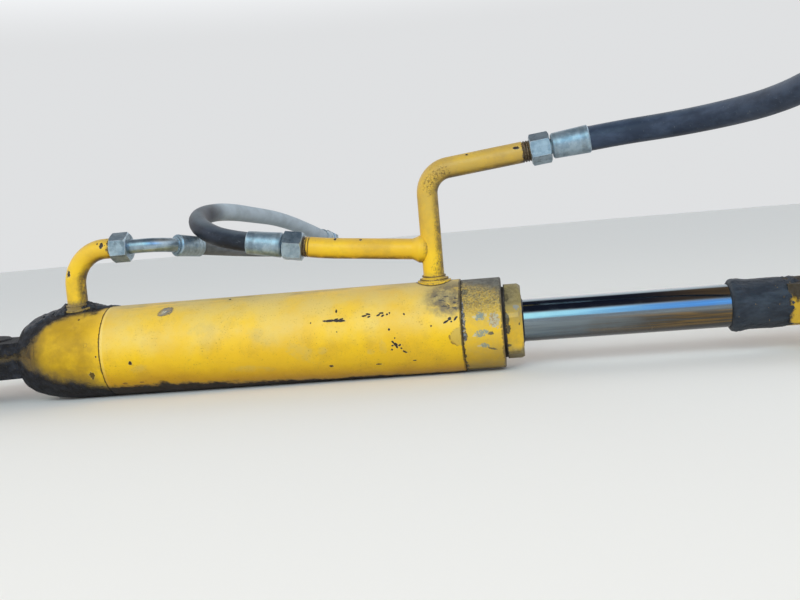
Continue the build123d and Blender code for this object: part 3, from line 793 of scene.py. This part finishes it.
def bearing_finish(name, light, dark, roughness):
    """Ground bearing steel with rust blooms and old grease."""
    material, place = new_material(name, roughness, 0.85)
    grain = cloud(stretched(place, (60, 60, 900)), 1.0, 3.0)
    colour = blend(ramp(grain, 0.35, 0.65), light, dark)
    rust = ramp(cloud(place, 0.009, 6.0, 0.72), 0.55, 0.68)
    colour = lay(colour, (96, 64, 42), rust, 0.8)
    smeared = ramp(cloud(place, 0.02, 5.0, 0.65), 0.50, 0.62)
    colour = lay(colour, use(GREASE, Vector=place), smeared, 0.85)
    metal = minus(0.85, times(most(rust, smeared), 0.7), clamp=True)
    rough = times_plus(most(rust, smeared), 0.3, roughness)
    return wire(material, colour, rough, grain, 0.00005, metal)


# Pieces fitted to the solids


def add_object(name, data):
    piece = bpy.data.objects.new(name, data)
    bpy.context.collection.objects.link(piece)
    return piece


def add_form(name, form, material):
    mesh = bpy.data.meshes.new(name)
    form.to_mesh(mesh)
    form.free()
    mesh.materials.append(material)
    return add_object(name, mesh)


def place_piece(name, form, body, material):
    """Makes the piece from its form, smooth, and hangs it on its body."""
    piece = add_form(name, form, material)
    piece.data.polygons.foreach_set("use_smooth", [True] * len(piece.data.polygons))
    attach(piece, body)


def ring_form(radius, thick):
    """A plain ring about Z at the origin."""
    form = bmesh.new()
    bmesh.ops.create_circle(form, segments=12, radius=thick)
    bmesh.ops.rotate(form, verts=form.verts, cent=(0, 0, 0), matrix=Matrix.Rotation(math.pi / 2, 3, "X"))
    bmesh.ops.translate(form, verts=form.verts, vec=(radius, 0, 0))
    bmesh.ops.spin(form, geom=form.verts[:] + form.edges[:], cent=(0, 0, 0), axis=(0, 0, 1), angle=2 * math.pi,
                   steps=144, use_merge=True)
    bmesh.ops.recalc_face_normals(form, faces=form.faces)
    return form


def rippled(form, radius, count, seed):
    """Weld ripples round the ring, uneven as laid by hand."""
    for vertex in form.verts:
        angle = math.atan2(vertex.co.y, vertex.co.x)
        heart = Vector((math.cos(angle), math.sin(angle), 0)) * radius
        swing = angle + 0.05 * math.sin(3 * angle + seed)
        crest = abs(math.sin(swing * count / 2))
        lump = noise.noise(heart * 120 + Vector((seed, 0, 0)))
        vertex.co = heart + (vertex.co - heart) * (1 + 0.18 * (crest - 0.6) + 0.22 * lump)


def foot_bead(name, x, outward, lift, thick, count, seed, material):
    """Weld bead that runs outward of a riser's tube, lifted over the barrel's crown."""
    radius = LINE_RADIUS + outward
    form = ring_form(radius, thick)
    rippled(form, radius, count, seed)
    for vertex in form.verts:
        angle = math.atan2(vertex.co.y, vertex.co.x)
        across = radius * math.sin(angle)
        vertex.co.z += math.sqrt(BARREL_RADIUS ** 2 - across ** 2) + lift
        vertex.co.x += x
    place_piece(name, form, "barrel", material)


def skin_form(start, end, turn, steps, reach):
    """A closed skin round the cylinder's axis. Turn is its range of angles from the crown towards the
    front, and reach(x, angle) its outer radius."""
    form = bmesh.new()
    bmesh.ops.create_grid(form, x_segments=steps[0], y_segments=steps[1], size=0.5)
    for vertex in form.verts:
        along = start + (vertex.co.x + 0.5) * (end - start)
        angle = turn[0] + (vertex.co.y + 0.5) * (turn[1] - turn[0])
        radius = reach(along, angle)
        vertex.co = (along, -radius * math.sin(angle), radius * math.cos(angle))
    if turn[1] - turn[0] > 6.28:
        bmesh.ops.remove_doubles(form, verts=form.verts, dist=0.00002)
    bmesh.ops.recalc_face_normals(form, faces=form.faces)
    probe = form.faces[:][0]
    centre = probe.calc_center_median()
    if probe.normal.dot(Vector((0, centre.y, centre.z))) < 0:
        bmesh.ops.reverse_faces(form, faces=form.faces)
    bmesh.ops.solidify(form, geom=form.faces[:], thickness=0.002)
    return form


def between(value, points):
    """Reads a line through (place, height) points."""
    if value <= points[0][0]:
        return points[0][1]
    for (x0, y0), (x1, y1) in zip(points, points[1:]):
        if value <= x1:
            return y0 + (y1 - y0) * (value - x0) / (x1 - x0)
    return points[-1][1]


def limited(value, low, high):
    return min(high, max(low, value))


def lumpy(place, size, seed, octaves=4):
    return noise.fractal(place / size + Vector((seed, seed, 0)), 0.6, 2.0, octaves)


def finish(material, *names):
    for name in names:
        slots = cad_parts[name].data.materials
        slots.clear()
        slots.append(material)


finish(barrel_finish(), "barrel_tube")
finish(cap_finish(), "base_eye")
finish(collar_finish(), "head_collar")
finish(gland_finish(), "gland_nut")
finish(rod_eye_finish(), "rod_eye")
finish(chrome_finish(), "rod")
finish(line_finish(
    "base_line_enamel", [(142.6, 90.5, 4.0, 8.0), (183.9, 118.5, 4.5, 6.0), (179.0, 121.1, 1.8, 1.8)],
    [(160, 60, 18, 18)], [(202, 115, 24, 60)], 0.25, 0.35, (60, 54, 50), 0.85), "base_line")
finish(line_finish(
    "head_line_enamel",
    [(647.5, 183.4, 7.0, 3.5), (595.3, 181.3, 3.0, 1.6), (446, 104, 3.0, 2.2), (474, 101, 3.0, 1.8)],
    [(559, 152, 24, 24), (566, 162, 20, 20), (562, 66, 24, 24), (562, 56, 24, 24)],
    [(659.5, 179.5, 11.2, 60), (410.4, 98.8, 6.4, 60)], 0.62, 0.75, (92, 76, 48), 0.30), "head_line")
finish(zinc_finish("nut_zinc", 0.45), "base_nut", "branch_nut", "head_nut", "base_far_nut", "branch_far_nut",
       "head_far_nut", "base_grease_fitting", "rod_grease_fitting")
finish(zinc_finish("elbow_zinc", 0.30), "base_elbow")
finish(bearing_finish("race_steel", (150, 150, 150), (112, 112, 114), 0.34), "base_race", "rod_race")
finish(bearing_finish("ring_steel", (176, 176, 174), (132, 132, 134), 0.22), "base_ring", "rod_ring")
finish(bearing_finish("clip_steel", (92, 90, 90), (64, 62, 62), 0.42),
       "base_clip_upper", "base_clip_lower", "rod_clip_upper", "rod_clip_lower")
finish(bearing_finish("piston_iron", (98, 98, 98), (72, 72, 74), 0.45), "piston", "piston_nut")
finish(rubber_finish("wiper_rubber", (26, 26, 28), (40, 40, 42), 0.25), "rod_wiper")

# Ferrules, each with its crimps square to its own hose: start and end of its axis, spacing, depth

FERRULES = {
    "base": ((0.2540, 0.0199, 0.1123), (0.2942, 0.0770, 0.1042), 0.0050, 0.45),
    "branch": ((0.3878, 0.0, 0.1022), (0.3268, 0.0, 0.1117), 0.0300, 0.4),
    "head": ((0.6837, 0.0, 0.1821), (0.7503, 0.0, 0.1895), 0.0300, 0.4),
    "base_far": ((0.4540, 0.3850, 0.0780), (0.4140, 0.3000, 0.0845), 0.0050, 0.45),
    "branch_far": ((0.3020, 0.7000, 0.0978), (0.2920, 0.5600, 0.1200), 0.0300, 0.4),
    "head_far": ((1.0180, -0.2820, 0.2510), (0.9740, -0.2540, 0.2390), 0.0300, 0.4),
}
FIRST_CRIMP = 0.004
for name, (start, end, spacing, depth) in FERRULES.items():
    axis = (Vector(end) - Vector(start)).normalized()
    first = axis.dot(Vector(start)) + FIRST_CRIMP
    finish(ferrule_finish(name + "_ferrule_zinc", tuple(axis), spacing, first, depth), name + "_ferrule")

# Weld beads at the feet of the two risers

HEAD_WELD = weld_finish("head_weld_enamel", HEAD_RISER_X, (0.0016, 0.0043), 0.15, 0.6)
BASE_WELD = weld_finish("base_weld_enamel", BASE_RISER_X, (0.0026,), 0.78, 0.12)
foot_bead("head_riser_weld", HEAD_RISER_X, 0.0056, 0.0004, 0.0013, 44, 1.0, HEAD_WELD)
foot_bead("head_riser_weld_middle", HEAD_RISER_X, 0.0030, 0.0028, 0.0012, 40, 4.0, HEAD_WELD)
foot_bead("head_riser_weld_upper", HEAD_RISER_X, 0.0006, 0.0060, 0.0011, 36, 9.0, HEAD_WELD)
foot_bead("base_riser_weld", BASE_RISER_X, 0.0046, 0.0006, 0.0014, 40, 7.0, BASE_WELD)
foot_bead("base_riser_weld_upper", BASE_RISER_X, 0.0010, 0.0046, 0.0012, 36, 2.0, BASE_WELD)

# Grease pushed out of the pin above, lying over the cap and round the riser's foot

CAP_OUTSIDE = [
    (0.082, 0.0330), (0.085, 0.0370), (0.093, 0.0418), (0.105, 0.0458), (0.117, 0.0484), (0.129, 0.0497),
    (0.139, 0.0500)]
GREASE_CREST = [
    (0.078, 0.85), (0.099, 0.78), (0.111, 0.62), (0.122, 0.50), (0.140, 0.42), (0.171, 0.32), (0.190, 0.12),
    (0.2, 0.05)]
CAP_GREASE_START, CAP_GREASE_END = 0.090, 0.196
MOUND_HEIGHT = 0.0075


def cap_grease_reach(x, angle):
    place = Vector((x, -math.sin(angle) * BARREL_RADIUS, math.cos(angle) * BARREL_RADIUS))
    crest = between(x, GREASE_CREST) - 0.10 + 0.16 * lumpy(place, 0.012, 3.0)
    inward = (crest - abs(angle)) * BARREL_RADIUS
    foot = math.hypot(x - BASE_RISER_X, BARREL_RADIUS * math.sin(angle))
    mound = MOUND_HEIGHT * math.exp(-max(0.0, foot - LINE_RADIUS - 0.003) / 0.009)
    mound *= 1.0 - 0.80 * max(0.0, math.sin(angle)) * BARREL_RADIUS / max(foot, 0.001)
    body = 0.0010 + 0.0009 * lumpy(place, 0.009, 9.0) + mound * (0.85 + 0.3 * lumpy(place, 0.009, 5.0))
    edge = limited(inward / 0.004, -1.0, 1.0)
    ends = min(1.0, (x - CAP_GREASE_START) / 0.006, (CAP_GREASE_END - x) / 0.005)
    proud = min(edge, ends)
    return between(x, CAP_OUTSIDE) + (max(0.0002, body) * proud if proud > 0 else 0.0012 * proud)


place_piece("cap_grease", skin_form(CAP_GREASE_START - 0.002, CAP_GREASE_END + 0.002, (-1.25, 1.25), (180, 200),
                                    cap_grease_reach), "barrel", grease_finish())

# Film of grease drawn over the rod's boss, with a lip at its front and a ragged end

BOSS_FACE_X = BOSS_X - 0.0022
BOSS_GREASE_INSIDE = 0.0222


def boss_grease_reach(x, angle):
    place = Vector((x, -math.sin(angle) * BOSS_RADIUS, math.cos(angle) * BOSS_RADIUS))
    lip = math.exp(-((x - BOSS_X - 0.005) / 0.0045) ** 2)
    drag = lumpy(Vector((place.x * 0.35, place.y, place.z)), 0.006, 2.0, 5)
    proud = 0.0008 + 0.0005 * drag + lip * (0.0006 + 0.0006 * lumpy(place, 0.005, 8.0))
    ragged_end = BOSS_X + 0.060 + 0.012 * lumpy(place, 0.010, 6.0)
    fade = min(1.0, (ragged_end - x) / 0.003)
    radius = BOSS_RADIUS - 0.001 * limited((x - BOSS_X - 0.009) / 0.007, 0.0, 1.0)
    outside = radius + (max(0.0003, proud) * fade if fade > 0 else 0.0006 * max(-1.0, fade))
    face = limited((x - BOSS_X + 0.0022) / 0.0040, 0.0, 1.0)
    return BOSS_GREASE_INSIDE + (outside - BOSS_GREASE_INSIDE) * math.sqrt(1 - (1 - face) ** 2)


place_piece("boss_grease", skin_form(BOSS_FACE_X, BOSS_X + 0.078, (-math.pi, math.pi), (120, 150),
                                     boss_grease_reach), "rod", boss_grease_finish())

# Hoses: each follows the route of its tube from ferrule to ferrule

BASE_RUBBER = rubber_finish("base_hose_rubber", (84, 90, 94), (120, 126, 130), 0.8)
BRANCH_RUBBER = rubber_finish("branch_hose_rubber", (20, 24, 33), (42, 48, 60), 0.22, 0.97)
HEAD_RUBBER = rubber_finish("head_hose_rubber", (38, 48, 65), (60, 71, 90), 0.10)
HOSES = {
    "base": (0.0095, 0.4033, BASE_RUBBER, [
        (0.2649, 0.0309, 0.1107), (0.2942, 0.0770, 0.1042), (0.3300, 0.1340, 0.0975), (0.3720, 0.2120, 0.0910),
        (0.4140, 0.3000, 0.0845), (0.4540, 0.3850, 0.0780)]),
    "branch": (0.011, 0.779, BRANCH_RUBBER, [
        (0.3750, 0.0, 0.1042), (0.3268, 0.0, 0.1117), (0.2890, 0.0235, 0.1270), (0.2715, 0.0650, 0.1410),
        (0.2735, 0.1180, 0.1475), (0.2770, 0.1930, 0.1480), (0.2805, 0.2960, 0.1430), (0.2840, 0.4150, 0.1370),
        (0.2920, 0.5600, 0.1200), (0.3020, 0.7000, 0.0978)]),
    "head": (0.013, 0.4626, HEAD_RUBBER, [
        (0.6966, 0.0, 0.1835), (0.7503, 0.0, 0.1895), (0.8060, -0.0200, 0.1915), (0.8530, -0.0580, 0.1945),
        (0.8880, -0.1120, 0.1985), (0.9120, -0.1680, 0.2085), (0.9380, -0.2170, 0.2240), (0.9740, -0.2540, 0.2390),
        (1.0180, -0.2820, 0.2510)]),
}


def hose(name, radius, material, route):
    curve = bpy.data.curves.new(name, "CURVE")
    curve.dimensions = "3D"
    spline = curve.splines.new("NURBS")
    spline.points.add(len(route) - 1)
    for point, place in zip(spline.points, route):
        point.co = (*place, 1.0)
    spline.order_u = 3
    spline.use_endpoint_u = True
    spline.resolution_u = 16
    curve.bevel_depth = radius
    curve.bevel_resolution = 8
    curve.use_fill_caps = True
    curve.materials.append(material)
    return add_object(name, curve)


for name, (radius, length, material, route) in HOSES.items():
    piece = hose(name + "_hose_cover", radius, material, route)
    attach(piece, "barrel")
    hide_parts(name + "_hose")

# Floor: pale where the camera or a mirror sees it, greyer in the light that it throws back

FLOOR_RADIUS, FLOOR_GAP = 9.0, 0.0005
FLOOR_SEEN, FLOOR_THROWN = (0.86, 0.83, 0.78, 1.0), (0.48, 0.48, 0.47, 1.0)
floor_form = bmesh.new()
bmesh.ops.create_circle(floor_form, cap_ends=True, segments=96, radius=FLOOR_RADIUS)
bmesh.ops.translate(floor_form, verts=floor_form.verts, vec=(0.5, 0.0, cad_box[0][2] - FLOOR_GAP))
floor_material, _ = new_material("pale_floor", 0.9)
ray = put(floor_material.node_tree, "LightPath").outputs
seen = most(ray["Is Camera Ray"], most(ray["Is Glossy Ray"], ray["Is Transmission Ray"]))
floor = add_form("floor", floor_form, wire(floor_material, tint(seen, FLOOR_THROWN, FLOOR_SEEN)))

# World for the chrome to mirror: a window on the camera's side, pale elsewhere, grey low down, a dark roof

WINDOW_LEFT, WINDOW_RIGHT = (1.60, 2.70, 2.70, 1.0), (0.42, 1.15, 2.50, 1.0)
ROOF_LEFT, ROOF_RIGHT = (0.025, 0.03, 0.055, 1.0), (0.26, 0.15, 0.08, 1.0)
PALE, LOW = (1.15, 1.17, 1.20, 1.0), (0.74, 0.75, 0.76, 1.0)
bpy.context.scene.view_settings.view_transform = "Standard"
world = bpy.data.worlds.new("studio")
world.use_nodes = True
bpy.context.scene.world = world
right, back, high = parts_of(put(world.node_tree, "TexCoord").outputs["Generated"])
window = tint(ramp(right, 0.0, 0.16), WINDOW_LEFT, WINDOW_RIGHT)
window_side = times(ramp(back, -0.60, -0.80), ramp(right, -0.45, -0.20))
sky = tint(ramp(high, 0.18, 0.30), LOW, tint(window_side, PALE, window))
roof = tint(ramp(right, 0.11, 0.19), ROOF_LEFT, ROOF_RIGHT)
background = world.node_tree.nodes["Background"].inputs
give(background, Color=tint(ramp(high, 0.66, 0.84), sky, roof))
background["Strength"].default_value = 1.0

# Lamps


def lamp(name, place, target, size, power, colour):
    data = bpy.data.lights.new(name, "AREA")
    data.shape = "RECTANGLE"
    data.size, data.size_y = size
    data.spread = math.radians(110)
    data.energy = power
    data.color = colour
    piece = add_object(name, data)
    piece.location = place
    piece.rotation_euler = (Vector(target) - Vector(place)).to_track_quat("-Z", "Y").to_euler()
    piece.visible_glossy = False


lamp("key", (0.1, -2.5, 1.3), (0.5, 0, 0.05), (2.4, 1.2), 15, (1.0, 0.96, 0.90))
lamp("fill", (2.4, -1.6, 0.9), (0.6, 0, 0.05), (1.6, 1.2), 2.8, (0.92, 0.96, 1.0))

# Camera at the photograph's place: turned left, tipped down and rolled

CAMERA_PLACE = (0.640, -1.07664, 0.11895)
YAW, PITCH, ROLL = 0.1199, 0.0798, 0.0865
forward = Vector((-math.sin(YAW), math.cos(YAW), 0))
level = Vector((math.cos(YAW), math.sin(YAW), 0))
upright = Vector((0, 0, 1))
ahead = forward * math.cos(PITCH) - upright * math.sin(PITCH)
above = forward * math.sin(PITCH) + upright * math.cos(PITCH)
side = level * math.cos(ROLL) - above * math.sin(ROLL)
top = level * math.sin(ROLL) + above * math.cos(ROLL)
camera_data = bpy.data.cameras.new("camera")
camera_data.lens = 45
camera_data.sensor_width = 36
camera_data.clip_start = 0.05
camera = add_object("camera", camera_data)
camera.matrix_world = Matrix.Translation(CAMERA_PLACE) @ Matrix((side, top, -ahead)).transposed().to_4x4()
bpy.context.scene.camera = camera
